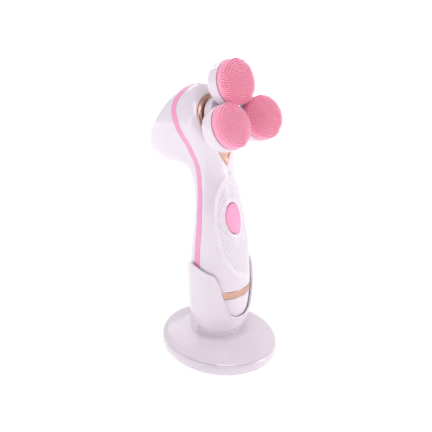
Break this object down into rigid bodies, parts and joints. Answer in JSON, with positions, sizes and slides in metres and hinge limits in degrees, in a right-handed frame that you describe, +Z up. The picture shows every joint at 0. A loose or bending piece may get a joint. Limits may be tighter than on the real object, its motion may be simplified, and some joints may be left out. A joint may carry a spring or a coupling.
{
  "type": "facial cleansing brush with charging stand",
  "caption": "Handheld facial cleansing brush with a tilted rotor of spinning silicone pads, standing in an oval charging stand with a notched holder cup.",
  "frame": {"origin": "middle of the stand's underside, on the surface it stands on", "axes": "+Z up, -Y the side that the brushes face, X across; symmetric about X = 0 at rest"},
  "size_m": [0.0806, 0.1084, 0.2139],
  "materials": {
    "white_abs": "glossy moulded ABS, faint lilac tint",
    "pink_stripe": "satin moulded inlay",
    "pink_button": "soft satin push button",
    "pink_silicone": "soft silicone with fine nubs",
    "rose_gold": "polished rose-gold plating",
    "grey_rubber": "matte",
    "steel": "plain",
    "copper": "enamelled wire winding",
    "ferrite": "sintered",
    "circuit_board": "solder-masked laminate",
    "battery_wrap": "shrink sleeve",
    "acetal": "moulded acetal",
    "bronze": "sintered bush",
    "black_plastic": "moulded"
  },
  "bodies": {
    "stand": {"stand_shell": "white_abs", "stand_bottom_cover": "white_abs", "rubber_foot_1": "grey_rubber", "rubber_foot_2": "grey_rubber", "rubber_foot_3": "grey_rubber", "rubber_foot_4": "grey_rubber", "ballast_plate": "steel", "charger_coil": "copper", "charger_ferrite": "ferrite", "charger_board": "circuit_board", "power_inlet": "black_plastic", "stand_screw_1": "steel", "stand_screw_2": "steel", "stand_screw_3": "steel", "stand_screw_4": "steel"},
    "handset": {"front_housing": "white_abs", "rear_housing": "white_abs", "seam_band": "pink_stripe", "teardrop_trim": "rose_gold", "lower_band": "rose_gold", "end_cap": "white_abs", "receiver_coil": "copper", "battery": "battery_wrap", "battery_holder": "black_plastic", "control_board": "circuit_board", "tactile_switch": "black_plastic", "button_seal": "grey_rubber", "motor": "steel", "motor_bracket": "acetal", "shaft_bearing": "bronze", "shaft_seal": "grey_rubber"},
    "button": {"power_button": "pink_button"},
    "rotor": {"rotor_carrier": "white_abs", "rotor_back_plate": "white_abs", "drive_shaft": "steel", "driven_gear": "acetal"},
    "motor_rotor": {"motor_pinion": "steel"},
    "brush_top": {"brush_cup_top": "white_abs", "brush_pad_top": "pink_silicone", "brush_spindle_top": "steel"},
    "brush_left": {"brush_cup_left": "white_abs", "brush_pad_left": "pink_silicone", "brush_spindle_left": "steel"},
    "brush_right": {"brush_cup_right": "white_abs", "brush_pad_right": "pink_silicone", "brush_spindle_right": "steel"}
  },
  "joints": [
    {"name": "handset_lift", "type": "slide", "parent": "stand", "child": "handset", "axis": [0, 0, 1], "range_m": [0, 0.07]},
    {"name": "button_press", "type": "slide", "parent": "handset", "child": "button", "axis": [0, 0.9699, -0.2436], "range_m": [0, 0.0008], "stiffness_N_per_m": 2500},
    {"name": "rotor_spin", "type": "hinge", "parent": "handset", "child": "rotor", "pos_m": [0, -0.01855, 0.18305], "axis": [0, -0.9198, 0.3923], "continuous": true},
    {"name": "pinion_spin", "type": "hinge", "parent": "handset", "child": "motor_rotor", "pos_m": [0, 0.01147, 0.15785], "axis": [0, -0.9198, 0.3923], "continuous": true},
    {"name": "brush_spin_top", "type": "hinge", "parent": "rotor", "child": "brush_top", "pos_m": [0, -0.01172, 0.19906], "axis": [0, -0.9558, 0.294], "continuous": true},
    {"name": "brush_spin_left", "type": "hinge", "parent": "rotor", "child": "brush_left", "pos_m": [-0.01507, -0.02196, 0.17505], "axis": [0.0905, -0.8943, 0.4383], "continuous": true},
    {"name": "brush_spin_right", "type": "hinge", "parent": "rotor", "child": "brush_right", "pos_m": [0.01507, -0.02196, 0.17505], "axis": [-0.0905, -0.8943, 0.4383], "continuous": true}
  ],
  "couplings": [
    {"joint": "pinion_spin", "follows": "rotor_spin", "ratio": -2.8571}
  ]
}
